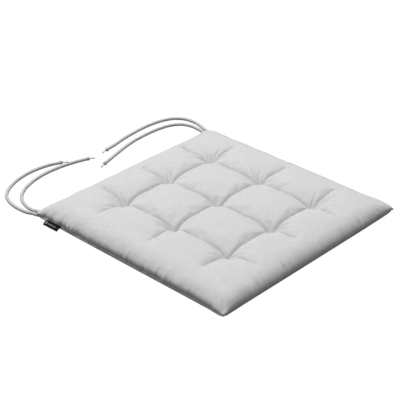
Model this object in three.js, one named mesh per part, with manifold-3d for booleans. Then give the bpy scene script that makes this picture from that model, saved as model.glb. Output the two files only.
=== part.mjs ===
// Tufted chair seat pad with four tie cords.
// Millimetres. Origin under the middle of the outline with its label, +X to the right seen from
// the front edge, +Y towards the rear edge that carries the ties, +Z up. The pad lies on z = 0.
import * as THREE from 'three';
import { mergeVertices } from 'three/addons/utils/BufferGeometryUtils.js';
import Module from 'manifold-3d';

// Cover
const HALF = 200; // middle of the pad to the seam, both ways
const CROWN_Z = 32; // highest point of the top panel
const CROWN_POWER = 0.265; // how square the crown is: 0 is a box, 0.5 an ellipse
const CLOTH = 0.9; // cover cloth
const SEAM_Z = 7; // height of the seam that joins the two panels
const GAP = 0.3; // clearance between neighbouring pieces
const EDGE_ROLL = 30; // width of the underside's turned-up margin
const PAD_X = 3.38; // the pad's middle, right of the origin by half of what the label sticks out

// Filling
const FILL_HALF = 188;
const FOAM_TOP = 21.7;
const FOAM_EDGE_TOP = 7.6;
const FOAM_BOTTOM = 5;
const FOAM_TUFT_TOP = 10.5;
const FOAM_TUFT_BOTTOM = 7;

// Tufts: one stitch through the whole pad at each crossing
const TUFT_X = [-96, 2, 100];
const TUFT_Y = [-113, -3.5, 104.5];
const TUFT_TOP = 13.5; // top panel where the stitch holds it down
const TUFT_BOTTOM = 4; // bottom panel where the stitch holds it up
const TUFT_FLAT = 4.3; // flat seat under the stitch, radius
const DIMPLE_TOP = 42; // radius of the hollow in the top panel
const DIMPLE_BOTTOM = 30;
const TUFT_HOLE = 1.4;
const THREAD_R = 1;
const STITCH_R = 2.4;
const STITCH_H = 1;

// Tie cords
const CORD_R = 2.75;
const CORD_SIDES = 10;
const CORD_STEP = 6; // length of one tube segment
const KNOT_R = 3.4;
const KNOT_LENGTH = 4;
const TAIL_R = 0.9;
const TAIL_BULB_R = 1.3;
const TAIL_LENGTH = 10.5;
const TAIL_DROP = 0.16; // fall of the tail per unit length
const FLOOR_LIFT = 0.05; // keeps resting cords just off z = 0

// Closing seam and label, both on the left side
const HEM = { x: -201.05, y: -3, z: 7.4, thick: 1.5, long: 386, tall: 3.4 };
const STITCH = { x: -202.5, r: 0.4, long: 376 };
const LABEL = { y: 158, wide: 33, long: 6, thick: 0.8, topX: -202.6, topZ: 9.3, droop: 50 };

const COLORS = {
  cloth: '#dcdbda',
  wadding: '#f2f1ee',
  foam: '#e9e2c8',
  thread: '#d2cfca',
  cord: '#cdc6c0',
  label: '#151515',
};

const wasm = await Module();
wasm.setup();

/** Parabolic power crown: 1 in the middle, 0 with a vertical tangent at the seam. */
const crown = (c) => Math.pow(Math.max(0, 1 - (c / HALF) ** 2), CROWN_POWER);

/** Share of a tuft's pull at a point: 1 under the stitch, 0 at the hollow's rim. */
function pull(x, y, reach) {
  let share = 0;
  for (const tx of TUFT_X) {
    for (const ty of TUFT_Y) {
      const r = Math.hypot(x - tx, y - ty);
      const s = THREE.MathUtils.clamp((reach - r) / (reach - TUFT_FLAT), 0, 1);
      share = Math.max(share, s ** 2);
    }
  }
  return share;
}

const mix = THREE.MathUtils.lerp;
const rimTop = SEAM_Z + GAP / 2;
const rimBottom = SEAM_Z - GAP / 2;

/** Height of a crowned layer with its own edge, middle and tufted heights. */
function crowned(x, y, edge, middle, tufted) {
  const free = edge + (middle - edge) * crown(x) * crown(y);
  return mix(free, tufted, pull(x, y, DIMPLE_TOP));
}

const topOuter = (x, y) => crowned(x, y, rimTop, CROWN_Z, TUFT_TOP);
const foamTop = (x, y) => crowned(x, y, FOAM_EDGE_TOP, FOAM_TOP, FOAM_TUFT_TOP);

/** Share of the margin's turn-up: 0 on the flat underside, 1 at the seam. */
function turnUp(c) {
  const e = THREE.MathUtils.clamp((Math.abs(c) - HALF + EDGE_ROLL) / EDGE_ROLL, 0, 1);
  return 1 - Math.sqrt(1 - e * e);
}

function bottomOuter(x, y) {
  const free = rimBottom * (1 - (1 - turnUp(x)) * (1 - turnUp(y)));
  return mix(free, TUFT_BOTTOM, pull(x, y, DIMPLE_BOTTOM));
}

const foamBottom = (x, y) => mix(FOAM_BOTTOM, FOAM_TUFT_BOTTOM, pull(x, y, DIMPLE_BOTTOM));

// Grid lines. Every layer uses the same inner lines, so neighbouring facets stay parallel.
const TUFT_LINES = [-30, -12, -3, 3, 12, 30];
const RIM_LINES = [200, 199.2, 197, 192]; // outer face of the cover, seam to margin
const RIM_SHARE = [1, 0.85, 0.55, 0.2]; // how much of the cloth is taken sideways there
const inner = (tufts) => [
  -FILL_HALF,
  -170,
  ...tufts.flatMap((t) => TUFT_LINES.map((d) => t + d)),
  170,
  FILL_HALF,
];

/** Lines of one axis with the cloth's side inset and its remaining share of thickness. */
function coverLines(tufts) {
  const rim = RIM_LINES.map((c, i) => ({ c, inset: CLOTH * RIM_SHARE[i], w: 1 - RIM_SHARE[i] }));
  const mid = inner(tufts).map((c) => ({ c, inset: 0, w: 1 }));
  const left = rim.map((l) => ({ ...l, c: -l.c }));
  return [...left, ...mid, ...rim.reverse()];
}

/** Closed solid between two grids of points with matching rows and columns. */
function closedGrid(upper, lower) {
  const rows = upper.length;
  const cols = upper[0].length;
  const at = (k, i, j) => (k * rows + i) * cols + j;
  const pos = [...upper.flat(), ...lower.flat()].flat();
  const tri = [];
  for (let i = 0; i < rows - 1; i++) {
    for (let j = 0; j < cols - 1; j++) {
      const [a, b, c, d] = [[i, j], [i + 1, j], [i + 1, j + 1], [i, j + 1]];
      const q = (k) => [a, b, c, d].map((p) => at(k, ...p));
      const [u, l] = [q(0), q(1)];
      tri.push(u[0], u[1], u[2], u[0], u[2], u[3]);
      tri.push(l[0], l[2], l[1], l[0], l[3], l[2]);
    }
  }
  const rim = [];
  for (let i = 0; i < rows - 1; i++) rim.push([i, 0]);
  for (let j = 0; j < cols - 1; j++) rim.push([rows - 1, j]);
  for (let i = rows - 1; i > 0; i--) rim.push([i, cols - 1]);
  for (let j = cols - 1; j > 0; j--) rim.push([0, j]);
  rim.forEach((p, n) => {
    const r = rim[(n + 1) % rim.length];
    tri.push(at(0, ...r), at(0, ...p), at(1, ...p), at(0, ...r), at(1, ...p), at(1, ...r));
  });
  const geo = new THREE.BufferGeometry();
  geo.setAttribute('position', new THREE.Float32BufferAttribute(pos, 3));
  geo.setIndex(tri);
  return geo;
}

/** Cover panel: outer face from a height function, inner face one cloth away. */
function panel(outer, side) {
  const xs = coverLines(TUFT_X);
  const ys = coverLines(TUFT_Y);
  const face = xs.map((u) => ys.map((v) => [u.c, v.c, outer(u.c, v.c)]));
  const back = xs.map((u) =>
    ys.map((v) => [
      u.c - Math.sign(u.c) * u.inset,
      v.c - Math.sign(v.c) * v.inset,
      outer(u.c, v.c) - side * CLOTH * u.w * v.w,
    ])
  );
  return side > 0 ? closedGrid(face, back) : closedGrid(back, face);
}

/** Filling layer between two height functions over the filling's square. */
function layer(upper, lower) {
  const grid = (f) => inner(TUFT_X).map((x) => inner(TUFT_Y).map((y) => [x, y, f(x, y)]));
  return closedGrid(grid(upper), grid(lower));
}

function toManifold(geometry) {
  const bare = geometry.clone();
  bare.deleteAttribute('normal');
  bare.deleteAttribute('uv');
  const welded = mergeVertices(bare, 1e-4);
  return new wasm.Manifold(
    new wasm.Mesh({
      numProp: 3,
      vertProperties: new Float32Array(welded.attributes.position.array),
      triVerts: new Uint32Array(welded.index.array),
    })
  );
}

function fromManifold(solid) {
  const mesh = solid.getMesh();
  const geo = new THREE.BufferGeometry();
  geo.setAttribute('position', new THREE.BufferAttribute(mesh.vertProperties, 3));
  geo.setIndex(new THREE.BufferAttribute(mesh.triVerts, 1));
  return geo;
}

/** The layer with a needle hole at every tuft. */
function pierced(geometry) {
  let solid = toManifold(geometry);
  for (const x of TUFT_X) {
    for (const y of TUFT_Y) {
      const hole = new THREE.CylinderGeometry(TUFT_HOLE, TUFT_HOLE, 2 * CROWN_Z, 8);
      hole.rotateX(Math.PI / 2).translate(x, y, 0);
      solid = solid.subtract(toManifold(hole));
    }
  }
  return fromManifold(solid);
}

/** Tuft stitch: a thread through every layer with a small pad of stitches at each end. */
function tuftStitch(x, y) {
  const low = TUFT_BOTTOM - GAP;
  const high = TUFT_TOP + GAP;
  const profile = [
    [0, low - STITCH_H],
    [STITCH_R * 0.8, low - STITCH_H],
    [STITCH_R, low - STITCH_H / 2],
    [STITCH_R * 0.9, low],
    [THREAD_R, low],
    [THREAD_R, high],
    [STITCH_R * 0.9, high],
    [STITCH_R, high + STITCH_H / 2],
    [STITCH_R * 0.8, high + STITCH_H],
    [0, high + STITCH_H],
  ].map((p) => new THREE.Vector2(...p));
  return new THREE.LatheGeometry(profile, 8).rotateX(Math.PI / 2).translate(x, y, 0);
}

// Routes of the ties: [x, y, height above the lying position]. Each leaves the seam at a rear
// corner, comes down on to the floor and curls back towards the middle.
const TIE_ROUTES = {
  left_outer: [
    [-199.5, 201.2, 4.2], [-200, 206, 4], [-201.2, 217, 1.8], [-202, 229, 0.3], [-202, 250, 0],
    [-198.5, 269, 0], [-189.5, 287.5, 0], [-173.5, 302, 0], [-161.3, 309, 0], [-149, 314.5, 0],
    [-134.2, 318.8, 0], [-120, 321.5, 0], [-103.5, 322.3, 0], [-88, 321.5, 0], [-70, 317.4, 0.3],
    [-54, 310.1, 0.8],
  ],
  left_inner: [
    [-190, 201.2, 4.2], [-190.4, 206, 4], [-191, 216, 1.8], [-190.5, 228, 0.3], [-187.5, 243, 0],
    [-181, 258.5, 0], [-170, 272, 0], [-153.5, 284, 0], [-141.4, 289.6, 0], [-129, 294, 0],
    [-112.4, 298.1, 0], [-95, 300.5, 0], [-79, 300.6, 0], [-62, 299.5, 0], [-34, 294.2, 0.2],
    [-13.2, 286.8, 0.8],
  ],
  right_outer: [
    [199.5, 201.2, 4.2], [201.2, 206, 4], [206.5, 218, 1.9], [212.5, 232, 0.4], [217, 250, 0],
    [214.5, 274, 0], [200.5, 291.5, 0], [177, 301, 0], [161.7, 303.2, 0], [147, 304, 0],
    [130.5, 303.6, 0], [114, 302.3, 0], [99.4, 300.6, 0], [84, 298.3, 0], [57, 292.2, 0.2],
    [34.9, 288.2, 0.8],
  ],
  right_inner: [
    [190.5, 201.2, 4.2], [192.5, 206, 4], [197.5, 217, 1.9], [201, 230, 0.4], [201.8, 245, 0],
    [195, 263, 0], [178, 275, 0], [151.5, 280.7, 0], [136.4, 281.5, 0], [121, 281.3, 0],
    [106, 280.3, 0], [91, 278.8, 0], [75.5, 275.9, 0], [60, 272.2, 0], [28, 262.8, 0.2],
    [-2.1, 253.3, 0.8],
  ],
};

const lying = ([x, y, lift]) => new THREE.Vector3(x, y, CORD_R + FLOOR_LIFT + lift);

/** Turned solid laid from a point along a direction; the profile is [radius, distance]. */
function turnedAlong(profile, from, direction, sides) {
  const points = profile.map((p) => new THREE.Vector2(...p));
  const turn = new THREE.Quaternion().setFromUnitVectors(new THREE.Vector3(0, 1, 0), direction);
  return new THREE.LatheGeometry(points, sides)
    .applyQuaternion(turn)
    .translate(from.x, from.y, from.z);
}

/** One tie: the round cord, the knot that ends it and the thin tail beyond. */
function tie(route) {
  const path = new THREE.CatmullRomCurve3(route.map(lying), false, 'centripetal');
  const section = Array.from({ length: CORD_SIDES }, (_, i) => {
    const a = (2 * Math.PI * i) / CORD_SIDES;
    return new THREE.Vector2(CORD_R * Math.cos(a), CORD_R * Math.sin(a));
  });
  const cord = new THREE.ExtrudeGeometry(new THREE.Shape(section), {
    extrudePath: path,
    steps: Math.round(path.getLength() / CORD_STEP),
    curveSegments: 1,
  });

  const along = path.getTangent(1);
  const knotFrom = path.getPoint(1).addScaledVector(along, GAP);
  const knotProfile = [
    [0, 0], [KNOT_R * 0.75, 0], [KNOT_R, KNOT_LENGTH * 0.3], [KNOT_R, KNOT_LENGTH * 0.6],
    [KNOT_R * 0.6, KNOT_LENGTH], [0, KNOT_LENGTH],
  ];
  const tailAlong = new THREE.Vector3(along.x, along.y, -TAIL_DROP).normalize();
  const tailFrom = knotFrom.clone().addScaledVector(along, KNOT_LENGTH + GAP);
  const bulbAt = TAIL_LENGTH - 2 * TAIL_BULB_R;
  const tailProfile = [
    [0, 0], [TAIL_R, 0], [TAIL_R, bulbAt], [TAIL_BULB_R, bulbAt + TAIL_BULB_R * 0.6],
    [TAIL_BULB_R, bulbAt + TAIL_BULB_R * 1.4], [TAIL_BULB_R * 0.5, TAIL_LENGTH],
    [0, TAIL_LENGTH],
  ];
  return {
    cord,
    knot: turnedAlong(knotProfile, knotFrom, along, 12),
    tail: turnedAlong(tailProfile, tailFrom, tailAlong, 8),
  };
}

/** Bar along the left side with a rounded outer edge. */
function sideBar({ x, y, z, thick, long, tall }) {
  const [w, h] = [thick / 2, tall / 2];
  const shape = new THREE.Shape([
    [w, -h], [w, h], [-w * 0.2, h], [-w, h * 0.6], [-w, -h * 0.6], [-w * 0.2, -h],
  ].map((p) => new THREE.Vector2(...p)));
  const geo = new THREE.ExtrudeGeometry(shape, { depth: long, bevelEnabled: false });
  return geo.rotateX(Math.PI / 2).translate(x, y + long / 2, z);
}

/** Row of closing stitches, as one thin thread. */
function closingThread() {
  const geo = new THREE.CylinderGeometry(STITCH.r, STITCH.r, STITCH.long, 6);
  return geo.translate(STITCH.x, HEM.y, HEM.z);
}

/** Folded woven label that hangs from the seam. */
function foldedLabel() {
  const geo = new THREE.BoxGeometry(LABEL.long, LABEL.wide, LABEL.thick);
  geo.translate(-LABEL.long / 2, 0, 0).rotateY(-THREE.MathUtils.degToRad(LABEL.droop));
  return geo.translate(LABEL.topX, LABEL.y, LABEL.topZ);
}

const root = new THREE.Group();
root.name = 'chair_seat_pad';

function add(name, geometry, color, roughness = 0.9) {
  const material = new THREE.MeshStandardMaterial({ color, roughness, metalness: 0 });
  const mesh = new THREE.Mesh(geometry, material);
  mesh.name = name;
  mesh.position.x = PAD_X;
  root.add(mesh);
}

add('cover_top', pierced(panel(topOuter, 1)), COLORS.cloth);
add('cover_bottom', pierced(panel(bottomOuter, -1)), COLORS.cloth);

const CLOTH_AND_GAP = CLOTH + GAP;
const waddingTop = layer(
  (x, y) => topOuter(x, y) - CLOTH_AND_GAP,
  (x, y) => foamTop(x, y) + GAP
);
const waddingBottom = layer(
  (x, y) => foamBottom(x, y) - GAP,
  (x, y) => bottomOuter(x, y) + CLOTH_AND_GAP
);
add('wadding_top', pierced(waddingTop), COLORS.wadding);
add('foam_core', pierced(layer(foamTop, foamBottom)), COLORS.foam);
add('wadding_bottom', pierced(waddingBottom), COLORS.wadding);

TUFT_Y.forEach((y, row) => {
  TUFT_X.forEach((x, column) => {
    add(`tuft_stitch_r${row + 1}c${column + 1}`, tuftStitch(x, y), COLORS.thread);
  });
});

for (const [side, route] of Object.entries(TIE_ROUTES)) {
  const { cord, knot, tail } = tie(route);
  add(`tie_${side}`, cord, COLORS.cord);
  add(`knot_${side}`, knot, COLORS.cord);
  add(`tail_${side}`, tail, COLORS.cord);
}

add('closing_hem', sideBar(HEM), COLORS.cloth);
add('closing_stitch', closingThread(), COLORS.thread);
add('label', foldedLabel(), COLORS.label, 0.7);

export default root;
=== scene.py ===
"""Tufted chair seat pad with four tie cords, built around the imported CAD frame."""
import math

import bpy
import numpy as np
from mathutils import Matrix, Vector


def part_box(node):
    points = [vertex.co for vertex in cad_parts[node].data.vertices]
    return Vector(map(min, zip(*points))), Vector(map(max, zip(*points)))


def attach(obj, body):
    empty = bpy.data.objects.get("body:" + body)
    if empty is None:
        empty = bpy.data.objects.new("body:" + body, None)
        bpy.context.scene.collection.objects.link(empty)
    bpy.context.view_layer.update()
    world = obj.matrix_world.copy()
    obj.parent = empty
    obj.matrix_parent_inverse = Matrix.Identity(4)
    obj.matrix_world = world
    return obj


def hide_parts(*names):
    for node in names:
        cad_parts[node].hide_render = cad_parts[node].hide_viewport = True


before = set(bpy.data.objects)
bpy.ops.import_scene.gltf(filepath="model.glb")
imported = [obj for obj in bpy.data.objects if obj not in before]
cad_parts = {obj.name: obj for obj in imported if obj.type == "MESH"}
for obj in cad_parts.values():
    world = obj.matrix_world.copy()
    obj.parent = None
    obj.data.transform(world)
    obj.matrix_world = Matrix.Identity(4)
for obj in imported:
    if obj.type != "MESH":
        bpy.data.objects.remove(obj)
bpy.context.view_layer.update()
scene = bpy.context.scene

MM = 0.001
BODY = "root"

# ---------------------------------------------------------------- places from the CAD, in mm
low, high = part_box("cover_top")
PAD_X = (low.x + high.x) / 2 / MM
HALF = (high.x - low.x) / 2 / MM


def centre(node):
    """Middle of a CAD node relative to the pad's middle, in mm."""
    a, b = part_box(node)
    return ((a.x + b.x) / 2 / MM - PAD_X, (a.y + b.y) / 2 / MM, (a.z + b.z) / 2 / MM)


ROWS = COLS = (0, 1, 2)
TUFTS = {(c, r): centre(f"tuft_stitch_r{r + 1}c{c + 1}")[:2] for r in ROWS for c in COLS}


def place(points):
    """Pad coordinates in mm to the shared frame in metres."""
    p = np.asarray(points, float).reshape(-1, 3)
    return (p + (PAD_X, 0, 0)) * MM


# ---------------------------------------------------------------- camera
def look(obj, target, azimuth, elevation, distance):
    a, e = math.radians(azimuth), math.radians(elevation)
    back = Vector((math.sin(a) * math.cos(e), -math.cos(a) * math.cos(e), math.sin(e)))
    obj.location = Vector(target) + back * distance
    obj.rotation_mode = "QUATERNION"
    obj.rotation_quaternion = (-back).to_track_quat("-Z", "Y")


camera_data = bpy.data.cameras.new("camera")
camera = bpy.data.objects.new("camera", camera_data)
scene.collection.objects.link(camera)
camera_data.sensor_width = 36
camera_data.lens = 110.18
camera_data.clip_start = 0.05
camera_data.clip_end = 20
CAMERA_TARGET = (20.9, 52.8, 0)  # pad coordinates, mm
look(camera, place(CAMERA_TARGET)[0], azimuth=-46.63, elevation=29.83, distance=1.9881)
scene.camera = camera


# ---------------------------------------------------------------- node helpers
def add_node(tree, kind, inputs=None, **props):
    n = tree.nodes.new("ShaderNode" + kind)
    for key, value in props.items():
        setattr(n, key, value)
    for key, value in (inputs or {}).items():
        if isinstance(value, bpy.types.NodeSocket):
            tree.links.new(value, n.inputs[key])
        else:
            n.inputs[key].default_value = value
    return n


def math_node(tree, op, a, b=0.0):
    return add_node(tree, "Math", {0: a, 1: b}, operation=op).outputs[0]


def new_material(name, roughness, sheen=0.0, specular=0.3):
    m = bpy.data.materials.new(name)
    m.use_nodes = True
    tree = m.node_tree
    bsdf = tree.nodes["Principled BSDF"]
    bsdf.inputs["Roughness"].default_value = roughness
    bsdf.inputs["Specular IOR Level"].default_value = specular
    bsdf.inputs["Sheen Weight"].default_value = sheen
    bsdf.inputs["Sheen Roughness"].default_value = 0.45
    return m, tree, bsdf


def two_tone(tree, factor, dark, light):
    mix = add_node(tree, "Mix", {"Factor": factor}, data_type="RGBA")
    mix.inputs[6].default_value = (*dark, 1)
    mix.inputs[7].default_value = (*light, 1)
    return mix.outputs[2]


def bump_chain(tree, bsdf, layers):
    """Stack bumps given as (height, strength, distance in mm)."""
    normal = None
    for height, strength, distance in layers:
        inputs = {"Height": height, "Strength": strength, "Distance": distance * MM}
        if normal is not None:
            inputs["Normal"] = normal
        normal = add_node(tree, "Bump", inputs).outputs["Normal"]
    tree.links.new(normal, bsdf.inputs["Normal"])


# how much each layer of a weave adds to its tone
MOTTLE_TONE, FLECK_TONE, CROSSING_TONE, EDGE_TONE = 0.12, 0.8, 0.08, -0.5
TONE_LOW, TONE_HIGH = 0.4, 1.22  # the tone that gives the dark and the light colour
THREAD_SWING = 0.06              # how much roughness varies between threads


def woven(name, dark, light, pitch, grain, roughness, sheen, relief=1.0):
    """Plain-woven cloth. 'weave' holds the cloth's own two directions in mm, and how much
    darker it is: 1 at a seam, below 0 where it is lighter, a lightening that on the hem is painted
    light."""
    m, tree, bsdf = new_material(name, roughness, sheen)
    weave = add_node(tree, "Attribute", attribute_name="weave").outputs["Vector"]
    split = add_node(tree, "SeparateXYZ", {0: weave})
    u, v, edge = split.outputs
    su = math_node(tree, "SINE", math_node(tree, "MULTIPLY", u, math.pi / pitch))
    sv = math_node(tree, "SINE", math_node(tree, "MULTIPLY", v, math.pi / pitch))
    over = math_node(tree, "MULTIPLY", su, sv)
    flat = add_node(tree, "CombineXYZ", {0: u, 1: v})

    def noise(scale_u, scale_v, detail=2.0):
        stretch = add_node(tree, "VectorMath", {0: flat.outputs[0], 1: (scale_u, scale_v, 1)},
                           operation="MULTIPLY")
        return add_node(tree, "TexNoise", {"Vector": stretch.outputs[0], "Scale": 1.0,
                                           "Detail": detail, "Roughness": 0.55}).outputs["Fac"]

    warp = noise(0.09, 0.75)
    weft = noise(0.75, 0.09)
    slub = math_node(tree, "MULTIPLY", math_node(tree, "ADD", warp, weft), 0.5)
    mottle = noise(0.035, 0.035, 3.0)
    fleck = noise(0.5, 0.5, 2.0)
    tone = math_node(tree, "ADD", math_node(tree, "MULTIPLY", slub, grain),
                     math_node(tree, "MULTIPLY", mottle, MOTTLE_TONE))
    for layer, share in ((fleck, FLECK_TONE), (over, CROSSING_TONE), (edge, EDGE_TONE)):
        tone = math_node(tree, "ADD", tone, math_node(tree, "MULTIPLY", layer, share))
    ramp = add_node(tree, "MapRange", {"Value": tone, "From Min": TONE_LOW,
                                       "From Max": TONE_HIGH})
    tree.links.new(two_tone(tree, ramp.outputs[0], dark, light), bsdf.inputs["Base Color"])
    rough = add_node(tree, "MapRange", {"Value": slub, "From Min": 0.3, "From Max": 0.7,
                                        "To Min": roughness - THREAD_SWING,
                                        "To Max": roughness + THREAD_SWING})
    tree.links.new(rough.outputs[0], bsdf.inputs["Roughness"])
    bump_chain(tree, bsdf, [(over, 0.35 * relief, 0.25), (slub, 0.5 * relief, 0.8),
                            (fleck, 0.5 * relief, 0.7)])
    return m


def twisted(name, dark, light, pitch, turns, roughness, sheen=0.1):
    """Braided cord or thread. 'weave' holds length along it in mm and the share of a turn."""
    m, tree, bsdf = new_material(name, roughness, sheen)
    weave = add_node(tree, "Attribute", attribute_name="weave").outputs["Vector"]
    along, around, _ = add_node(tree, "SeparateXYZ", {0: weave}).outputs
    run = math_node(tree, "MULTIPLY", along, math.tau / pitch)
    turn = math_node(tree, "MULTIPLY", around, math.tau * turns)
    right = math_node(tree, "SINE", math_node(tree, "ADD", run, turn))
    left = math_node(tree, "SINE", math_node(tree, "SUBTRACT", run, turn))
    braid = math_node(tree, "MULTIPLY", math_node(tree, "ADD", right, left), 0.25)
    braid = math_node(tree, "ADD", braid, 0.5)
    fuzz = add_node(tree, "TexNoise", {"Vector": weave, "Scale": 1.6,
                                       "Detail": 3.0}).outputs["Fac"]
    tone = math_node(tree, "ADD", math_node(tree, "MULTIPLY", braid, 0.6),
                     math_node(tree, "MULTIPLY", fuzz, 0.4))
    tree.links.new(two_tone(tree, tone, dark, light), bsdf.inputs["Base Color"])
    bump_chain(tree, bsdf, [(braid, 0.4, 0.3), (fuzz, 0.3, 0.2)])
    return m


CLOTH = woven("cover_canvas", (0.60, 0.588, 0.59), (0.93, 0.915, 0.92),
              pitch=0.55, grain=0.7, roughness=0.86, sheen=0.12)
CORD = twisted("tie_braid", (0.54, 0.505, 0.485), (0.83, 0.785, 0.76),
               pitch=2.2, turns=5, roughness=0.8)
THREAD = twisted("sewing_thread", (0.55, 0.535, 0.52), (0.82, 0.81, 0.79),
                 pitch=0.9, turns=2, roughness=0.7)
TAG = woven("label_ribbon", (0.003, 0.003, 0.0035), (0.009, 0.009, 0.0095),
            pitch=0.3, grain=0.7, roughness=0.8, sheen=0.0)
TAG_YARN = woven("label_yarn", (0.40, 0.40, 0.41), (0.72, 0.72, 0.73),
                 pitch=0.3, grain=0.7, roughness=0.75, sheen=0.05)
WADDING = woven("wadding_fleece", (0.72, 0.71, 0.70), (0.88, 0.88, 0.87),
                pitch=3.0, grain=0.9, roughness=0.95, sheen=0.3, relief=2.0)
FOAM = woven("foam_cells", (0.62, 0.56, 0.40), (0.80, 0.74, 0.56),
             pitch=1.6, grain=0.8, roughness=0.9, sheen=0.0, relief=2.0)


# ---------------------------------------------------------------- mesh helpers
def make(name, part, material):
    """New piece from (points, faces, weave): pad coordinates and one vector a point, in mm."""
    points, faces, weave = part
    mesh = bpy.data.meshes.new(name)
    mesh.from_pydata(place(points).tolist(), [], faces)
    mesh.update()
    mesh.polygons.foreach_set("use_smooth", [True] * len(mesh.polygons))
    mesh.materials.append(material)
    layer = mesh.attributes.new("weave", "FLOAT_VECTOR", "POINT")
    layer.data.foreach_set("vector", np.asarray(weave, np.float32).ravel())
    obj = bpy.data.objects.new(name, mesh)
    scene.collection.objects.link(obj)
    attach(obj, BODY)
    return obj


def join_parts(parts):
    """Several (points, faces, weave) as one."""
    points, faces, weave, n = [], [], [], 0
    for p, f, w in parts:
        points.append(np.asarray(p, float).reshape(-1, 3))
        faces += [tuple(i + n for i in face) for face in f]
        weave.append(np.asarray(w, float).reshape(-1, 3))
        n += len(points[-1])
    return np.vstack(points), faces, np.vstack(weave)


def catmull(route, step):
    """Centripetal Catmull-Rom curve through the route, sampled evenly about every step mm."""
    p = np.array(route, float)
    p = np.vstack([2 * p[0] - p[1], p, 2 * p[-1] - p[-2]])
    out = []
    for i in range(1, len(p) - 2):
        q = p[i - 1:i + 3]
        k = np.concatenate([[0], np.cumsum(np.sqrt(np.linalg.norm(np.diff(q, axis=0), axis=1)))])
        t = np.linspace(k[1], k[2], 24, endpoint=i == len(p) - 3)[:, None]
        a = [((k[j + 1] - t) * q[j] + (t - k[j]) * q[j + 1]) / (k[j + 1] - k[j]) for j in range(3)]
        b = [((k[j + 2] - t) * a[j] + (t - k[j]) * a[j + 1]) / (k[j + 2] - k[j]) for j in range(2)]
        out.append(((k[2] - t) * b[0] + (t - k[1]) * b[1]) / (k[2] - k[1]))
    out = np.vstack(out)
    s = np.concatenate([[0], np.cumsum(np.linalg.norm(np.diff(out, axis=0), axis=1))])
    even = np.linspace(0, s[-1], max(2, round(s[-1] / step) + 1))
    return np.stack([np.interp(even, s, out[:, j]) for j in range(3)], 1)


def tube(path, radius, sides=16, relief=None):
    """Closed round tube along a path. radius is one number or one per path point."""
    path = np.asarray(path, float)
    tangent = np.gradient(path, axis=0)
    tangent /= np.linalg.norm(tangent, axis=1)[:, None]
    radius = np.broadcast_to(radius, len(path)).astype(float)
    side = np.cross(tangent[0], (0.0, 0.0, 1.0))
    if np.linalg.norm(side) < 1e-3:
        side = np.array((1.0, 0.0, 0.0))
    points, weave = [], []
    s = np.concatenate([[0], np.cumsum(np.linalg.norm(np.diff(path, axis=0), axis=1))])
    turn = np.arange(sides) / sides
    for i, (c, t) in enumerate(zip(path, tangent)):
        side = side - t * side.dot(t)
        side /= np.linalg.norm(side)
        up = np.cross(side, t)
        r = radius[i] * (1 + (relief(s[i], turn) if relief else 0))
        ang = turn * math.tau
        points.append(c + (np.cos(ang) * r)[:, None] * side + (np.sin(ang) * r)[:, None] * up)
        weave.append(np.stack([np.full(sides, s[i]), turn, np.zeros(sides)], 1))
    n = len(path)
    faces = []
    for i in range(n - 1):
        for j in range(sides):
            k = (j + 1) % sides
            faces.append((i * sides + j, i * sides + k, (i + 1) * sides + k, (i + 1) * sides + j))
    points = np.vstack(points + [path[:1], path[-1:]])
    weave = np.vstack(weave + [[[0, 0, 0]], [[s[-1], 0, 0]]])
    first, last = n * sides, n * sides + 1
    for j in range(sides):
        k = (j + 1) % sides
        faces.append((first, k, j))
        faces.append((last, (n - 1) * sides + j, (n - 1) * sides + k))
    return points, faces, weave


def loft_faces(stations, m):
    """Faces of a solid that runs through so many outlines of m points, with flat ends."""
    faces = []
    for i in range(stations - 1):
        for j in range(m):
            k = (j + 1) % m
            faces.append((i * m + j, (i + 1) * m + j, (i + 1) * m + k, i * m + k))
    faces.append(tuple(range(m)))
    faces.append(tuple((stations - 1) * m + j for j in reversed(range(m))))
    return faces


# ---------------------------------------------------------------- tie cords
CORD_R = 2.75
LIE = CORD_R + 0.05     # height of a resting cord's middle
ROOT_IN = 8.0           # how far a cord runs into the seam
ROOT_ASIDE = 0.982      # and how far towards the pad's middle, as a share of x
PATH_STEP = 1.1
COLLAR_R = 2.35         # radius of the whipping's coil
COLLAR_LONG = 3.4
COLLAR_BACK = 0.6       # how far it starts before the cord's end
COLLAR_TURNS = 3
COLLAR_YARN_R = 0.95
KNOT_AT = (-0.8, 0.4, 1.6, 2.8, 3.6, 4.1)  # past the cord's end
KNOT_R = (2.5, 2.75, 2.8, 2.7, 2.2, 1.1)   # radius of the knot's core there
TAIL_AT = (0, 0.1, 0.72, 0.82, 0.93, 1)    # share of the tail's length
TAIL_R = (1.25, 0.95, 0.9, 1.25, 1.35, 0.6)
TAIL_BEND = 0.5
TAIL_LONG = 10.5
TAIL_FALL = 0.16        # fall of a tail per unit length
TAIL_LOWEST = 1.45
BRAID_DEEP = 0.014      # relief of the braid, as a share of the radius
BRAID_LONG = 4.4
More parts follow.
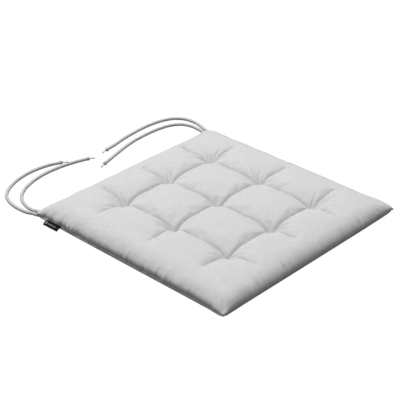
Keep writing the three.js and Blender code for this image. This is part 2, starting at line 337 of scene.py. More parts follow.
ROUTES = {
    "left_outer": [
        (-199.5, 201.2, 4.2), (-200, 206, 4), (-201.2, 217, 1.8), (-202, 229, 0.3), (-202, 250, 0),
        (-198.5, 269, 0), (-189.5, 287.5, 0), (-173.5, 302, 0), (-161.3, 309, 0), (-149, 314.5, 0),
        (-134.2, 318.8, 0), (-120, 321.5, 0), (-103.5, 322.3, 0), (-88, 321.5, 0),
        (-70, 317.4, 0.3), (-54, 310.1, 0.8)],
    "left_inner": [
        (-190, 201.2, 4.2), (-190.4, 206, 4), (-191, 216, 1.8), (-190.5, 228, 0.3),
        (-187.5, 243, 0), (-181, 258.5, 0), (-170, 272, 0), (-153.5, 284, 0), (-141.4, 289.6, 0),
        (-129, 294, 0), (-112.4, 298.1, 0), (-95, 300.5, 0), (-79, 300.6, 0), (-62, 299.5, 0),
        (-34, 294.2, 0.2), (-13.2, 286.8, 0.8)],
    "right_outer": [
        (199.5, 201.2, 4.2), (201.2, 206, 4), (206.5, 218, 1.9), (212.5, 232, 0.4), (217, 250, 0),
        (214.5, 274, 0), (200.5, 291.5, 0), (177, 301, 0), (161.7, 303.2, 0), (147, 304, 0),
        (130.5, 303.6, 0), (114, 302.3, 0), (99.4, 300.6, 0), (84, 298.3, 0), (57, 292.2, 0.2),
        (34.9, 288.2, 0.8)],
    "right_inner": [
        (190.5, 201.2, 4.2), (192.5, 206, 4), (197.5, 217, 1.9), (201, 230, 0.4), (201.8, 245, 0),
        (195, 263, 0), (178, 275, 0), (151.5, 280.7, 0), (136.4, 281.5, 0), (121, 281.3, 0),
        (106, 280.3, 0), (91, 278.8, 0), (75.5, 275.9, 0), (60, 272.2, 0), (28, 262.8, 0.2),
        (-2.1, 253.3, 0.8)],
}


def braid_relief(s, turn):
    a = math.tau * s / BRAID_LONG
    b = math.tau * turn * 5
    return BRAID_DEEP * (np.sin(a + b) + np.sin(a - b))


for side, route in ROUTES.items():
    route = [(x, y, z + LIE) for x, y, z in route]
    start = (route[0][0] * ROOT_ASIDE, route[0][1] - ROOT_IN, route[0][2])
    path = catmull([start] + route, PATH_STEP)
    cord = make(f"tie_cord_{side}", tube(path, CORD_R, 20, braid_relief), CORD)
    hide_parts(f"tie_{side}")

    end = path[-1]
    ahead = path[-1] - path[-4]
    ahead /= np.linalg.norm(ahead)
    # whipped collar: turns of the cord's own yarn, pulled tight round the knot's core
    ring = np.linspace(0, 1, 61)
    turns = ring * COLLAR_TURNS * math.tau
    aside = np.cross(ahead, (0, 0, 1.0))
    aside /= np.linalg.norm(aside)
    upward = np.cross(aside, ahead)
    coil = (end + np.outer(ring * COLLAR_LONG - COLLAR_BACK, ahead)
            + COLLAR_R * np.cos(turns)[:, None] * aside
            + COLLAR_R * np.sin(turns)[:, None] * upward)
    core = np.stack([end + ahead * d for d in KNOT_AT])
    knot = make(f"tie_knot_{side}", join_parts([
        tube(coil, COLLAR_YARN_R, 10), tube(core, KNOT_R, 16)]), CORD)
    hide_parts(f"knot_{side}")

    reach = np.linspace(0, 1, 24)
    line = end + ahead * COLLAR_LONG + np.outer(reach * TAIL_LONG, ahead)
    line[:, 2] = np.maximum(line[:, 2] - reach * TAIL_LONG * TAIL_FALL, TAIL_LOWEST)
    line += np.outer(TAIL_BEND * np.sin(reach * 2.6), aside)
    tail = make(f"tie_tail_{side}", tube(line, np.interp(reach, TAIL_AT, TAIL_R), 12), CORD)
    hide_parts(f"tail_{side}")

# ---------------------------------------------------------------- the cover's shape
COARSE = 101            # grid of the simulated cloth, each way
FINE_STEP = 3           # fine grid cells in one coarse cell
FINE = (COARSE - 1) * FINE_STEP + 1
CROWN_Z = 31.5
RIM_SHARE = 0.89        # height of the shoulder, as a share of the middle's
LEFT = (38.0, 2.5)      # width and squareness of the shoulder on the left side
FRONT = (47.0, 3.2)     # the same, front side
REAR = (34.0, 2.1)      # the same, right and rear sides
LEFT_UNDER = 3.6        # how far the left seam is drawn in under its side
UNDER_ROUND = 20.0      # width of the under panel's rise to the seam
SEAM_Z = 3.0            # seam in the middle of a side
SEAM_LIFT = 5.0         # and how much higher it is at a corner
FRONT_LIFT = 0.8        # the same at the front left corner
TUCK = 1.6              # how far the seam is drawn in
BULGE = 1.4             # how far the side bulges out above it
CORNER_ROUND = 4.0      # radius of a corner in plan
FRONT_ROUND = 9.0       # the same for the front left corner, which is blunter
SIDE_PULL = {"left": 1.8, "right": 2.2, "front": 1.2, "rear": 3.6}  # between the corners
TUFT_Z = 12.5           # the top panel where a stitch holds it down
UNDER_TUFT_Z = 4.0      # the under panel where a stitch holds it up
JOINED_DEEP = (11.4, 11.0)  # creases between tufts, running across and running back
LOOSE_DEEP = 10.8       # creases that run out from the outer tufts
HOLLOW_POWER = 4        # hollows that meet blend as a power sum of this order
FOLD_DEEP = 2.8         # extra depth of a crease's sharp bottom
FOLD_WIDE = 1.9
LOWEST = 1.2            # the top panel never comes below this


def even_half(lateral, share, height, n):
    """Evenly spaced points of a half profile, from the middle out: (lateral, share)."""
    s = np.concatenate([[0], np.cumsum(np.hypot(np.diff(lateral), height * np.diff(share)))])
    even = np.linspace(0, s[-1], n // 2 + 1)
    return np.interp(even, s, lateral), np.interp(even, s, share)


def both_sides(low, high):
    return (np.concatenate([-low[0][:0:-1], high[0]]), np.concatenate([low[1][:0:-1], high[1]]))


def top_half(width, square, n):
    t = np.linspace(0, 1, 3000)[::-1] ** 4
    shoulder = (1 - (1 - t) ** square) ** (1 / square)
    lateral = np.concatenate([np.linspace(0, HALF - width, 1500)[:-1], HALF - width * t])
    share = np.concatenate([np.ones(1499), shoulder])
    share = share * (RIM_SHARE + (1 - RIM_SHARE) * (1 - (lateral / HALF) ** 2))
    tuck = np.clip(1 - share / 0.2, 0, 1) ** 2 * TUCK
    bulge = BULGE * np.exp(-((share - 0.32) / 0.24) ** 2)
    return even_half(lateral - tuck + bulge, share, CROWN_Z - SEAM_Z, n)


def top_profile(near, n):
    return both_sides(top_half(*near, n), top_half(*REAR, n))


def under_profile(n):
    """Share 1 on the ground, 0 at the seam."""
    flat = HALF - UNDER_ROUND
    ang = np.linspace(0, math.pi / 2, 800)
    lateral = np.concatenate([np.linspace(0, flat, 600),
                              flat + (UNDER_ROUND + 0.2) * np.sin(ang) ** 1.15])
    share = np.concatenate([np.ones(600), np.cos(ang) ** 0.8])
    lateral = lateral - np.clip(1 - share / 0.35, 0, 1) ** 2 * (TUCK + 0.2)
    half = even_half(lateral, share, SEAM_Z, n)
    return both_sides(half, half)


def seam_height(x, y):
    lift = np.where((x < 0) & (y < 0), FRONT_LIFT, SEAM_LIFT)
    return SEAM_Z + lift * np.clip(np.abs(x * y) / HALF ** 2, 0, 1) ** 7


def between_corners(along_side):
    """1 along a side, falling to 0 at its two corners."""
    ear = np.clip(np.abs(along_side) / HALF - 0.72, 0, None) / 0.28
    return 1 - np.clip(ear, 0, 1) ** 1.6


def undercut(share, y):
    """How far the left side turns in below its bulge."""
    low_half = np.arange(len(share)) < len(share) // 2
    return (LEFT_UNDER * (low_half * np.clip(1 - share / 0.5, 0, 1) ** 1.3)[:, None]
            * between_corners(y))


def pulled_in(x, y):
    """Plan position with the sides drawn in between the corners."""
    def draw(across_side, along_side, near, far):
        pull = np.where(across_side < 0, SIDE_PULL[near], SIDE_PULL[far])
        return pull * np.abs(across_side / HALF) ** 4 * between_corners(along_side)
    sx, sy = np.sign(x), np.sign(y)
    ax, ay = np.abs(x), np.abs(y)
    most = np.maximum(ax, ay)
    bend = np.where((x < 0) & (y < 0), FRONT_ROUND, CORNER_ROUND) * np.clip(
        (most - HALF + 60) / 60, 0, 1) ** 1.5 + 1e-6
    turn = np.clip((np.minimum(ax, ay) - most + bend) / bend, 0, 1) * math.pi / 4
    longer = np.where(turn > 0, most - bend + bend * np.cos(turn), most)
    shorter = np.where(turn > 0, most - bend + bend * np.sin(turn), np.minimum(ax, ay))
    rx, ry = np.where(ax >= ay, longer, shorter), np.where(ax >= ay, shorter, longer)
    return (sx * (rx - draw(x, y, "left", "right")),
            sy * (ry - draw(y, x, "front", "rear")))


def crease_list():
    """Creases between tufts, creases that run out from the outer tufts, and short wrinkles.

    A fan is a row of wrinkles round a tuft: turn from its middle in degrees, length, depth."""
    rng = np.random.default_rng(11)
    joined, loose, wrinkles = [], [], []
    for (c, r), (x, y) in TUFTS.items():
        for dc, dr in ((1, 0), (0, 1)):
            if (c + dc, r + dr) in TUFTS:
                joined.append(((x, y), TUFTS[c + dc, r + dr],
                               JOINED_DEEP[0] if dc else JOINED_DEEP[1],
                               rng.uniform(-1.4, 1.4)))
        out = [(c - 1, 0)] * (c != 1) + [(0, r - 1)] * (r != 1)
        for ox, oy in out:
            ang = math.degrees(math.atan2(oy, ox)) + rng.uniform(-6, 6)
            loose.append((x, y, ang, rng.uniform(56, 66), LOOSE_DEEP,
                          rng.uniform(-2.5, 2.5)))
        if len(out) == 2:
            mid = math.degrees(math.atan2(r - 1, c - 1))
            fan = ((-29, 36, 3.4), (-10, 27, 3.8), (9, 31, 4.2), (27, 38, 3.4), (-74, 34, 3.6),
                   (72, 36, 3.8))
        elif len(out) == 1:
            mid = math.degrees(math.atan2(out[0][1], out[0][0]))
            fan = ((-60, 38, 4.0), (-39, 30, 3.6), (-17, 24, 2.8), (16, 24, 3.0), (36, 31, 3.8),
                   (59, 38, 4.2))
        else:
            mid, fan = 45, ((0, 20, 1.0), (94, 22, 1.2), (178, 20, 1.0), (268, 22, 1.2))
        for turn, long, deep in fan:
            wrinkles.append((x, y, mid + turn + rng.uniform(-4, 4), long * rng.uniform(0.85, 1.15),
                             deep * rng.uniform(0.8, 1.15), rng.uniform(-2, 2)))
    return joined, loose, wrinkles


JOINED, LOOSE, WRINKLES = crease_list()


def across(d, far):
    """Cross-section of a crease: a tight fold with softer shoulders.

    far is 1 on the side where the filling rolls down to the fold and 0 where the cloth
    comes up steeply out of it."""
    tight, soft = 1.3 + 1.3 * far, 8.0 + 4.0 * far
    fold = np.exp(-(np.sqrt(d ** 2 + 0.3) - 0.55) / tight)
    return 0.64 * fold + 0.36 * np.exp(-np.abs(d / soft) ** 1.5)


def far_side(d, ux, uy):
    """Which side of a crease with direction u a point at signed distance d is on, 0 to 1."""
    return 0.5 + 0.5 * np.tanh(d / 1.2) * np.tanh(2.5 * (ux - uy))


def hollows(x, y, free, tuft_z):
    """How far the tufts and creases pull the cloth below its free height."""
    depth = free - tuft_z
    total = np.zeros_like(x)

    def add(d):
        nonlocal total
        total = total + np.clip(d, 0, None) ** HOLLOW_POWER

    for tx, ty in TUFTS.values():
        r = np.hypot(x - tx, y - ty)
        far = 0.5 + 0.5 * (x - tx + y - ty) / math.sqrt(2) / np.sqrt(r ** 2 + 9)
        add(depth * np.exp(-(np.sqrt(r ** 2 + 16) - 4) / (10 + 5 * far)))
    for a, b, deep, bow in JOINED:
        inside, long, d, beyond, u = along_join(x, y, a, b, bow)
        far = far_side(d, *u)
        d = np.hypot(d, beyond)
        rise = (1 - np.sin(math.pi * inside / long)) ** 1.2
        add((deep + (depth - deep) * rise) * across(d, far))
    for tx, ty, ang, long, deep, bow in LOOSE:
        inside, d = along_ray(x, y, tx, ty, ang, long, bow)
        ux, uy = math.cos(math.radians(ang)), math.sin(math.radians(ang))
        far = far_side((y - ty) * ux - (x - tx) * uy, ux, uy)
        rise = np.exp(-(inside / 18) ** 1.3)
        fade = (1 - inside / long) ** 0.42
        add((deep * fade + (depth - deep) * rise) * across(d, far))
    drop = total ** (1 / HOLLOW_POWER)
    for tx, ty, ang, long, deep, bow in WRINKLES:
        inside, d = along_ray(x, y, tx, ty, ang, long, bow)
        share = inside / long
        swell = np.minimum(1, inside / 6) * (1 - share) ** 0.7
        narrow = 1.6 + 0.9 * share
        drop += deep * swell * (np.exp(-(d / narrow) ** 2)
                                - 0.25 * np.exp(-(d / 2.4 / narrow) ** 2))
    return drop


def fold_lines(x, y):
    """The sharp bottom of every crease, 1 along its line."""
    total = np.zeros_like(x)
    for a, b, _, bow in JOINED:
        _, _, d, beyond, _ = along_join(x, y, a, b, bow)
        total = np.maximum(total, np.exp(-(np.hypot(d, beyond) / FOLD_WIDE) ** 2))
    for tx, ty, ang, long, _, bow in LOOSE:
        inside, d = along_ray(x, y, tx, ty, ang, long, bow)
        total = np.maximum(total, (1 - inside / long) ** 0.4 * np.exp(-(d / FOLD_WIDE) ** 2))
    for tx, ty, ang, long, deep, bow in WRINKLES:
        inside, d = along_ray(x, y, tx, ty, ang, long, bow)
        swell = np.minimum(1, inside / 6) * (1 - inside / long) ** 0.6
        total = np.maximum(total, 0.16 * deep * swell * np.exp(-(d / FOLD_WIDE) ** 2))
    return total


def along_join(x, y, a, b, bow):
    """Position along a gently waving line between two tufts, its length, the signed distance
    from it, how far past its ends, and its direction."""
    (ax, ay), (bx, by) = a, b
    long = math.hypot(bx - ax, by - ay)
    ux, uy = (bx - ax) / long, (by - ay) / long
    s = (x - ax) * ux + (y - ay) * uy
    inside = np.clip(s, 0, long)
    wave = np.sin(math.pi * inside / long) + 0.5 * np.sin(3 * math.pi * inside / long)
    return inside, long, (y - ay) * ux - (x - ax) * uy - bow * wave, s - inside, (ux, uy)


def along_ray(x, y, tx, ty, angle, long, bow):
    """Position along a slightly bent line that leaves a tuft, and distance from it."""
    ux, uy = math.cos(math.radians(angle)), math.sin(math.radians(angle))
    s = (x - tx) * ux + (y - ty) * uy
    d = (y - ty) * ux - (x - tx) * uy
    inside = np.clip(s, 0, long)
    return inside, np.hypot(d - bow * (inside / long) ** 2, s - inside)


def ripple(x, y, seed, waves, shortest, longest):
    """Smooth pseudo-random height from seeded plane waves, about -1 to 1."""
    rng = np.random.default_rng(seed)
    total = np.zeros_like(x)
    for _ in range(waves):
        length = rng.uniform(shortest, longest)
        ang, phase = rng.uniform(0, math.tau, 2)
        total += np.sin((x * math.cos(ang) + y * math.sin(ang)) * math.tau / length + phase)
    return total / math.sqrt(waves)


def design_top(n):
    (ax, fx), (ay, fy) = top_profile(LEFT, n), top_profile(FRONT, n)
    x, y = np.meshgrid(ax, ay, indexing="ij")
    full = np.outer(fx, fy)
    seam = seam_height(x, y)
    free = seam + (CROWN_Z - SEAM_Z) * full
    z = free - hollows(x, y, free, TUFT_Z)
    z = np.maximum(z, seam)
    nx, ny = pulled_in(x, y)
    return np.stack([nx + undercut(fx, y), ny, z], -1)


def design_under(n):
    a, f = under_profile(n)
    x, y = np.meshgrid(a, a, indexing="ij")
    full = np.outer(f, f)
    z = seam_height(x, y) * (1 - full)
    dip = np.zeros_like(x)
    for tx, ty in TUFTS.values():
        r = np.hypot(x - tx, y - ty)
        dip = np.maximum(dip, np.exp(-(np.sqrt(r ** 2 + 9) - 3) / 6.0))
    nx, ny = pulled_in(x, y)
    return np.stack([nx + undercut(f, y), ny, z + UNDER_TUFT_Z * dip * full], -1)


def grid_normals(p):
    du = np.gradient(p, axis=0)
    dv = np.gradient(p, axis=1)
    n = np.cross(du, dv)
    return n / np.maximum(np.linalg.norm(n, axis=-1), 1e-9)[..., None]


def cloth_coordinates(p):
    """Length along the cloth from its middle, both ways, in mm."""
    out = np.zeros(p.shape)
    for axis in (0, 1):
        step = np.linalg.norm(np.diff(p, axis=axis), axis=-1)
        s = np.concatenate([np.zeros_like(np.take(step, [0], axis)), np.cumsum(step, axis)], axis)
        out[..., axis] = s - np.take(s, [p.shape[axis] // 2], axis)
    return out


def grid_faces(n, flip=False):
    i = np.arange(n - 1)
    a = (i[:, None] * n + i[None, :]).ravel()
    quads = np.stack([a, a + n, a + n + 1, a + 1], 1)
    return (quads[:, ::-1] if flip else quads).tolist()


def slab_faces(n, flip=False):
    """Faces of a solid between two n by n grids, closed round its rim."""
    faces = grid_faces(n, flip) + [tuple(v + n * n for v in f) for f in grid_faces(n, not flip)]
    rim = [i * n for i in range(n)] + [(n - 1) * n + j for j in range(1, n)]
    rim += [i * n + n - 1 for i in range(n - 2, -1, -1)] + [j for j in range(n - 2, 0, -1)]
    for a, b in zip(rim, rim[1:] + rim[:1]):
        quad = (a, b, b + n * n, a + n * n)
        faces.append(quad[::-1] if flip else quad)
    return faces


def finer(field, k):
    """Cubic interpolation of a grid to k times as many cells each way."""
    for axis in (0, 1):
        f = np.moveaxis(field, axis, 0)
        n = len(f)
        at = np.arange((n - 1) * k + 1) / k
        i = np.minimum(at.astype(int), n - 2)
        t = (at - i).reshape(-1, *[1] * (f.ndim - 1))
        g = [f[np.clip(i + j, 0, n - 1)] for j in (-1, 0, 1, 2)]
        f = g[1] + 0.5 * t * (g[2] - g[0] + t * (
            2 * g[0] - 5 * g[1] + 4 * g[2] - g[3] + t * (3 * (g[1] - g[2]) + g[3] - g[0])))
        field = np.moveaxis(f, 0, axis)
    return field


TUFT_PIN = 1.0          # how firmly the design holds the cloth at tufts and creases
JOINED_PIN = 0.95
LOOSE_PIN = 0.92
CLOTH_FRAMES = 24
AIR_PRESSURE = 4
STRETCH_STIFF = 15
MOST_MOVE = 4.5         # how far the simulation may move a point
SIDE_MOVE = 0.12        # share of the move that is kept at the sides


def settle(design, ground):
    """Move of each point when air pressure fills the cover while seam and tufts hold it."""
    n = len(design)
    index = np.arange(n * n).reshape(n, n)
    inner = np.zeros((n, n), bool)
    inner[1:-1, 1:-1] = True
    below = index.copy()
    below[inner] = n * n + np.arange(inner.sum())
    points = np.vstack([design.reshape(-1, 3), ground[inner]])
    faces = []
    for i in range(n - 1):
        for j in range(n - 1):
            faces.append((index[i, j], index[i + 1, j], index[i + 1, j + 1], index[i, j + 1]))
            faces.append((below[i, j], below[i, j + 1], below[i + 1, j + 1], below[i + 1, j]))
    mesh = bpy.data.meshes.new("cloth_cage")
    mesh.from_pydata((points * MM).tolist(), [], [tuple(map(int, f)) for f in faces])
    cage = bpy.data.objects.new("cloth_cage", mesh)
    scene.collection.objects.link(cage)
    hold = cage.vertex_groups.new(name="hold")
    hold.add([int(v) for v in index[~inner]] + list(range(n * n, len(points))), 1.0, "REPLACE")
    x, y, z = design[..., 0], design[..., 1], design[..., 2]
    share = np.zeros((n, n))
    for tx, ty in TUFTS.values():
        share = np.maximum(share, TUFT_PIN * np.exp(-(np.hypot(x - tx, y - ty) / 7) ** 2))
    for a, b, _, bow in JOINED:
        _, _, d, beyond, _ = along_join(x, y, a, b, bow)
        share = np.maximum(share, JOINED_PIN * np.exp(-(np.hypot(d, beyond) / 4) ** 2))
    for tx, ty, ang, long, _, bow in LOOSE:
        inside, d = along_ray(x, y, tx, ty, ang, long, bow)
        share = np.maximum(share, LOOSE_PIN * (1 - inside / long) ** 0.5
                           * np.exp(-(d / 4) ** 2))
    for v, w in zip(index[inner], share[inner]):
        if w > 0.05:
            hold.add([int(v)], float(w), "REPLACE")
    cloth = cage.modifiers.new("cloth", "CLOTH")
    fabric = cloth.settings
    fabric.quality = 5
    fabric.mass = 0.3
    fabric.tension_stiffness = fabric.compression_stiffness = STRETCH_STIFF
    fabric.shear_stiffness = 6
    fabric.bending_stiffness = 1.5
    fabric.tension_damping = fabric.compression_damping = fabric.shear_damping = 5
    fabric.use_pressure = True
    fabric.uniform_pressure_force = AIR_PRESSURE
    fabric.shrink_min = -0.012
    fabric.vertex_group_mass = "hold"
    fabric.pin_stiffness = 1.0
    fabric.effector_weights.gravity = 0
    cloth.collision_settings.use_collision = False
    cloth.point_cache.frame_start = 1
    cloth.point_cache.frame_end = CLOTH_FRAMES
    for f in range(1, CLOTH_FRAMES + 1):
        scene.frame_set(f)
    settled = cage.evaluated_get(bpy.context.evaluated_depsgraph_get()).data
    out = np.zeros(len(settled.vertices) * 3, np.float32)
    settled.vertices.foreach_get("co", out)
    bpy.data.objects.remove(cage)
    bpy.data.meshes.remove(mesh)
    scene.frame_set(1)
    move = out.reshape(-1, 3)[:n * n].reshape(n, n, 3) / MM - design
    size = np.linalg.norm(move, axis=-1, keepdims=True)
    move = move * np.tanh(size / MOST_MOVE) * MOST_MOVE / np.maximum(size, 1e-6)
    inward = np.clip((HALF - np.maximum(np.abs(x), np.abs(y)) - 12) / 50, 0, 1) ** 1.5
    return move * (SIDE_MOVE + (1 - SIDE_MOVE) * inward)[..., None]


# gathers at the front seam: position along it and depth
FRONT_GATHERS = ((-125, 2.6), (-112, 1.4), (-64, 3.0), (-52, 1.5), (20, 1.4), (72, 1.6),
                 (115, 3.0), (128, 1.6), (160, 1.8))


def seam_puckers(p):
    """Small gathers that the seams leave in the sides of the top panel, along its normal."""
    n = len(p)
    normal = grid_normals(p)
    weave = cloth_coordinates(p)
    from_left = weave[..., 0] - weave[:1, :, 0]
    from_right = weave[-1:, :, 0] - weave[..., 0]
    from_front = weave[..., 1] - weave[:, :1, 1]
    from_back = weave[:, -1:, 1] - weave[..., 1]
    offset = np.zeros((n, n))
    # distance from a seam, position along it, and how deep its short and long puckers are
    for k, (away, run, short, long) in enumerate((
            (from_left, p[..., 1], 2.1, 1.1), (from_front, p[..., 0], 0.25, 0.9),
            (from_right, p[..., 1], 0.45, 0.6), (from_back, p[..., 0], 0.45, 0.6))):
        lean = run + 0.15 * away
        small = ripple(lean, 0 * run, 40 + k, 9, 6, 14) * np.exp(-away / 10)
        large = ripple(lean, 0 * run, 50 + k, 5, 18, 45) * np.exp(-away / 20)
        patchy = 0.65 + 0.5 * ripple(run, 0 * run, 60 + k, 4, 50, 140)
        rise = np.minimum(1, away / 7)
        offset += np.clip(patchy, 0.25, 1.3) * (short * small + long * large) * rise
    for at, deep in FRONT_GATHERS:
        groove = np.exp(-((p[..., 0] - at - 0.12 * from_front) / 3.4) ** 2)
        offset -= deep * groove * np.exp(-((from_front - 14) / 13) ** 2)
    return p + normal * offset[..., None]


def cloth_waves(p):
    """Faint unevenness of cloth over wadding."""
    soft = 0.28 * ripple(p[..., 0], p[..., 1], 71, 14, 22, 60)
    fine = 0.07 * ripple(p[..., 0], p[..., 1], 72, 20, 6, 14)
    return p + grid_normals(p) * (soft + fine)[..., None]


UNDER_GRID = 201
CLOTH_THICK = 0.8

top = design_top(FINE)
creased = fold_lines(top[..., 0], top[..., 1])
top = top + finer(settle(design_top(COARSE), design_under(COARSE)), FINE_STEP)
top[..., 2] -= FOLD_DEEP * creased
top = cloth_waves(seam_puckers(top))
top[..., 2] = np.maximum(top[..., 2], LOWEST)
under = design_under(UNDER_GRID)


# ---------------------------------------------------------------- cover pieces
def shell(name, p, flip, node):
    """Cloth panel with its own thickness, darker close to the seam round its rim."""
    n = len(p)
    normal = grid_normals(p) * (-1 if flip else 1)
    weave = cloth_coordinates(p)
    edge = np.zeros((n, n))
    for k, share in enumerate((1.0, 0.75, 0.45, 0.2)):
        ring = np.zeros((n, n), bool)
        ring[k, :] = ring[-1 - k, :] = ring[:, k] = ring[:, -1 - k] = True
        edge[ring & (edge == 0)] = share
    weave[..., 2] = edge
    inside = p - normal * CLOTH_THICK
    inside[..., 2] = np.clip(inside[..., 2], 0.3, None)
    points = np.vstack([p.reshape(-1, 3), inside.reshape(-1, 3)])
    weave = weave.reshape(-1, 3)
    obj = make(name, (points, slab_faces(n, flip), np.vstack([weave, weave])), CLOTH)
    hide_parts(node)


shell("cover_top_cloth", top, False, "cover_top")
shell("cover_under_cloth", under, True, "cover_bottom")


def height_at(p, x, y):
    """Height of a cover grid over any inner point, by its own nearly straight grid lines."""
    n = len(p)
    line_x, line_y = p[:, n // 2, 0], p[n // 2, :, 1]
    i = np.clip(np.interp(x, line_x, np.arange(n)), 0, n - 1.001)
    j = np.clip(np.interp(y, line_y, np.arange(n)), 0, n - 1.001)
    a, b = i.astype(int), j.astype(int)
    u, v = i - a, j - b
    z = p[..., 2]
    return ((1 - u) * (1 - v) * z[a, b] + u * (1 - v) * z[a + 1, b]
            + (1 - u) * v * z[a, b + 1] + u * v * z[a + 1, b + 1])


# ---------------------------------------------------------------- filling
FILL_HALF = 187.0
FILL_LINES = 75
FILL_GAP = 1.2
END_ANGLE = math.pi / 2 * 0.92  # lines of the filling's grid crowd towards its sides
line = FILL_HALF * np.sin(np.linspace(-1, 1, FILL_LINES) * END_ANGLE) / math.sin(END_ANGLE)
FX, FY = np.meshgrid(line, line, indexing="ij")
NEAR = (-4.5, -3, -1.5, 0, 1.5, 3, 4.5)  # a filling point clears the cover this far around it
roof = np.min([height_at(top, FX + i, FY + j) for i in NEAR for j in NEAR], 0) - FILL_GAP
ground = np.max([height_at(under, FX + i, FY + j) for i in NEAR for j in NEAR], 0) + FILL_GAP
room = np.maximum(roof - ground, 1.0)
LAYERS = {"wadding_bottom": (0.02, 0.14), "foam_core": (0.17, 0.70), "wadding_top": (0.73, 0.97)}
for node, (lower, upper) in LAYERS.items():
    lumps = 0.012 * ripple(FX, FY, len(node), 9, 14, 40)
    grids = [np.stack([FX, FY, ground + room * (share + k * lumps)], -1)
             for share, k in ((upper, 1), (lower, 0))]
    points = np.vstack([g.reshape(-1, 3) for g in grids])
    filling = make(f"{node}_fill", (points, slab_faces(FILL_LINES), points * (1, 1, 0)),
                   FOAM if node == "foam_core" else WADDING)
    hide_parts(node)

# ---------------------------------------------------------------- tuft stitches
YARN_R = 0.42
CROSS_HALF = 2.1        # half the length of a tuft's crossed yarns
YARN_APART = 0.75


def arch(a, b, rise, n=9):
    """A stitch from a to b that goes into the cloth at both ends."""
    t = np.linspace(0, 1, n)
    p = np.outer(1 - t, a) + np.outer(t, b)
    p[:, 2] += rise * np.sin(math.pi * t) ** 0.6 - 0.5
    return p


for (c, r), (x, y) in TUFTS.items():
    rng = np.random.default_rng(100 + 3 * c + r)
    z = float(height_at(top, np.array([x]), np.array([y]))[0])
    zu = float(height_at(under, np.array([x]), np.array([y]))[0])
    turn = rng.uniform(-0.25, 0.25)
    yarns = []
    for level, sign in ((z, 1), (zu, -1)):
        for quarter in (0, 1):
            ux, uy = math.cos(turn + quarter * math.pi / 2), math.sin(turn + quarter * math.pi / 2)
            for shift in (-YARN_APART, 0, YARN_APART):
                off = np.array((-uy * shift, ux * shift, 0))
                half = CROSS_HALF + rng.uniform(-0.25, 0.25)
                a = np.array((x - ux * half, y - uy * half, level)) + off
                b = np.array((x + ux * half, y + uy * half, level)) + off
                bar = arch(a, b, 0.75 + 0.3 * quarter)
                bar[:, 2] = level + sign * (bar[:, 2] - level)
                yarns.append(tube(bar, YARN_R, 8))
    yarns.append(tube([(x, y, zu), (x, y, (z + zu) / 2), (x, y, z)], 0.9, 8))
    stitch = make(f"tuft_thread_r{r + 1}c{c + 1}", join_parts(yarns), THREAD)
    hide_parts(f"tuft_stitch_r{r + 1}c{c + 1}")

# ---------------------------------------------------------------- closing seam
HEM_LONG = 386.0
HEM_Y = -3.0
HEM_TALL = 3.4
HEM_THICK = 1.5
HEM_LEAN = 0.7
HEM_OUT, HEM_UP = 1.5, 1.3  # from the cover's edge to the hem's middle
HEM_STATIONS = 260
hem_y = np.linspace(HEM_Y - HEM_LONG / 2, HEM_Y + HEM_LONG / 2, HEM_STATIONS)
rim_y, rim_x, rim_z = top[0, :, 1], top[0, :, 0], top[0, :, 2]
hem_x = np.interp(hem_y, rim_y, rim_x) - HEM_OUT + 0.22 * ripple(hem_y, 0 * hem_y, 5, 7, 9, 30)
hem_z = np.interp(hem_y, rim_y, rim_z) + HEM_UP + 0.18 * ripple(hem_y, 0 * hem_y, 6, 7, 15, 50)
OUTLINE = 14
ang = np.arange(OUTLINE) / OUTLINE * math.tau
round_box = np.sign(np.cos(ang)) * np.abs(np.cos(ang)) ** 0.6
round_tall = np.sign(np.sin(ang)) * np.abs(np.sin(ang)) ** 0.6
points, weave = [], []
for i, (x, y, z) in enumerate(zip(hem_x, hem_y, hem_z)):
    slim = min(1, (i + 1) / 4, (HEM_STATIONS - i) / 4)
    tall = round_tall * HEM_TALL / 2 * slim
    points.append(np.stack([x + round_box * HEM_THICK / 2 * slim + HEM_LEAN * tall,
                            np.full(OUTLINE, y), z + tall], 1))
    # the hem's tone of -0.3 makes its cloth lighter: painted light, standing in for light the band
    # catches below the side's bulge
    weave.append(np.stack([round_tall * HEM_TALL / 2, np.full(OUTLINE, y),
                           np.full(OUTLINE, -0.3)], 1))
faces = loft_faces(HEM_STATIONS, OUTLINE)
hem = make("closing_hem_band", (np.vstack(points), faces, np.vstack(weave)), CLOTH)
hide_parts("closing_hem")

STITCH_STEP = 4.2
STITCH_R = 0.3
rng = np.random.default_rng(21)
bars = []
for y in np.arange(hem_y[6], hem_y[-7], STITCH_STEP):
    y += rng.uniform(-0.3, 0.3)
    x = np.interp(y, hem_y, hem_x) - HEM_THICK / 2
    z = np.interp(y, hem_y, hem_z)
    lean = 0.55 + rng.uniform(-0.15, 0.15)
    t = np.linspace(-1, 1, 7)
    tall = (HEM_TALL / 2 + 0.15) * t
    bar = np.stack([x - 0.2 + 0.7 * t ** 4 + HEM_LEAN * tall, y + lean * t, z + tall], 1)
    bars.append(tube(bar, STITCH_R, 6))
stitches = make("closing_hem_stitches", join_parts(bars), THREAD)
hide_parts("closing_stitch")

# ---------------------------------------------------------------- label
LABEL_Y = 161.8
LABEL_WIDE = 32.8
LABEL_LONG = 9.6
TAG_LAYER = 0.38
DROOP = math.radians(31)
MARK_AT = 5.2           # how far down the label its mark is
MARK_HIGH = 0.67        # its yarns above the middle of the fold, half sunk in the cloth
MARK_YARN_R = 0.16
MARK_STEP = 0.42
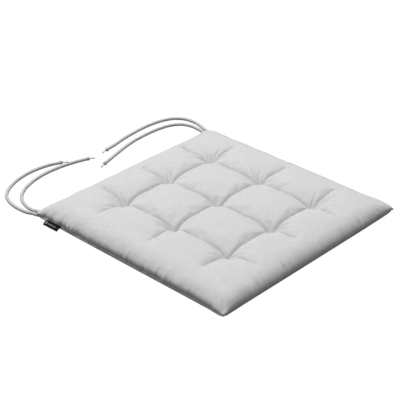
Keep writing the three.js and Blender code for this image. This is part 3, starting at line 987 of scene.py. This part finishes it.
# one small square and a row of plain bars: position across the label, width and depth
MARKS = ((11.4, 4.0, 3.8), (6.6, 2.4, 1.7), (3.5, 2.2, 1.7), (0.6, 2.4, 1.7), (-2.5, 2.0, 1.7),
         (-5.3, 2.4, 1.7), (-8.4, 2.2, 1.7))
label_x = float(np.interp(LABEL_Y, hem_y, hem_x)) - HEM_THICK / 2 - 0.2
label_z = float(np.interp(LABEL_Y, hem_y, hem_z)) + 0.6
sheet_t = np.linspace(0, 1, 9)
upper = np.stack([sheet_t * LABEL_LONG, 0.45 + 0.5 * np.sin(math.pi * sheet_t)], 1)
fold = [(LABEL_LONG + 0.42 * math.sin(a), 0.45 * math.cos(a))
        for a in np.linspace(0, math.pi, 7)[1:-1]]
lower_leaf = np.stack([sheet_t[::-1] * LABEL_LONG, np.full(9, -0.45)], 1)
leaf = np.vstack([upper, fold, lower_leaf])
step = np.gradient(leaf, axis=0)
step /= np.linalg.norm(step, axis=1)[:, None]
out_side = leaf + np.stack([-step[:, 1], step[:, 0]], 1) * TAG_LAYER / 2
in_side = leaf - np.stack([-step[:, 1], step[:, 0]], 1) * TAG_LAYER / 2
loop = np.vstack([out_side, in_side[::-1]])


def hang(d, h, y):
    """Label coordinates, along the leaf, off the leaf and across, to pad coordinates."""
    sag = DROOP + 0.10 * (y - LABEL_Y) / LABEL_WIDE
    return (label_x - d * math.cos(sag) - h * math.sin(sag), y,
            label_z - d * math.sin(sag) + h * math.cos(sag))


stations = np.linspace(LABEL_Y - LABEL_WIDE / 2, LABEL_Y + LABEL_WIDE / 2, 34)
points = [hang(d, h, y) for y in stations for d, h in loop]
weave = [(y, d, 0) for y in stations for d, _ in loop]
tag = make("label_fold", (points, loft_faces(len(stations), len(loop)), weave), TAG)
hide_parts("label")
marks = []
for y0, wide, deep in MARKS:
    for d in np.arange(MARK_AT - deep / 2, MARK_AT + deep / 2 + 0.01, MARK_STEP):
        h = MARK_HIGH + 0.5 * math.sin(math.pi * d / LABEL_LONG)
        row = [hang(d, h, LABEL_Y + y0 + w) for w in np.linspace(-wide / 2, wide / 2, 5)]
        marks.append(tube(row, MARK_YARN_R, 6))
mark = make("label_weave_bars", join_parts(marks), TAG_YARN)

# ---------------------------------------------------------------- studio
floor_mesh = bpy.data.meshes.new("floor")
FLOOR_HALF = 6.0  # metres
floor_mesh.from_pydata([(i * FLOOR_HALF, j * FLOOR_HALF, 0)
                        for i, j in ((-1, -1), (1, -1), (1, 1), (-1, 1))], [], [(0, 1, 2, 3)])
floor = bpy.data.objects.new("floor", floor_mesh)
scene.collection.objects.link(floor)
floor.location.z = -0.0005
paint, _, paint_bsdf = new_material("floor_paint", 0.9, specular=0.1)
paint_bsdf.inputs["Base Color"].default_value = (0.02, 0.02, 0.02, 1)
paint_bsdf.inputs["Emission Color"].default_value = (1, 1, 1, 1)
paint_bsdf.inputs["Emission Strength"].default_value = 1.0
floor_mesh.materials.append(paint)
# plain white backdrop that glows evenly, so no shadow shows on it, and bounces no light
floor.visible_diffuse = False
floor.visible_glossy = False
floor.visible_shadow = False

softbox_data = bpy.data.lights.new("key_softbox", "AREA")
softbox_data.energy = 155
softbox_data.size = 2.8
softbox = bpy.data.objects.new("key_softbox", softbox_data)
scene.collection.objects.link(softbox)
look(softbox, place((0, 0, 0))[0], azimuth=163, elevation=70, distance=4.4)

SKY_TOP, SKY_LOW = 0.28, 0.14  # soft light from overhead, and from all round
world = bpy.data.worlds.new("studio")
scene.world = world
world.use_nodes = True
wt = world.node_tree
coord = add_node(wt, "TexCoord").outputs["Generated"]
height = add_node(wt, "SeparateXYZ", {0: coord}).outputs[2]
above = math_node(wt, "POWER", math_node(wt, "MAXIMUM", height, 0.0), 1.5)
glow = math_node(wt, "ADD", math_node(wt, "MULTIPLY", above, SKY_TOP), SKY_LOW)
wt.links.new(glow, wt.nodes["Background"].inputs["Strength"])
wt.nodes["Background"].inputs["Color"].default_value = (0.985, 0.99, 1.0, 1)
scene.view_settings.view_transform = "Standard"
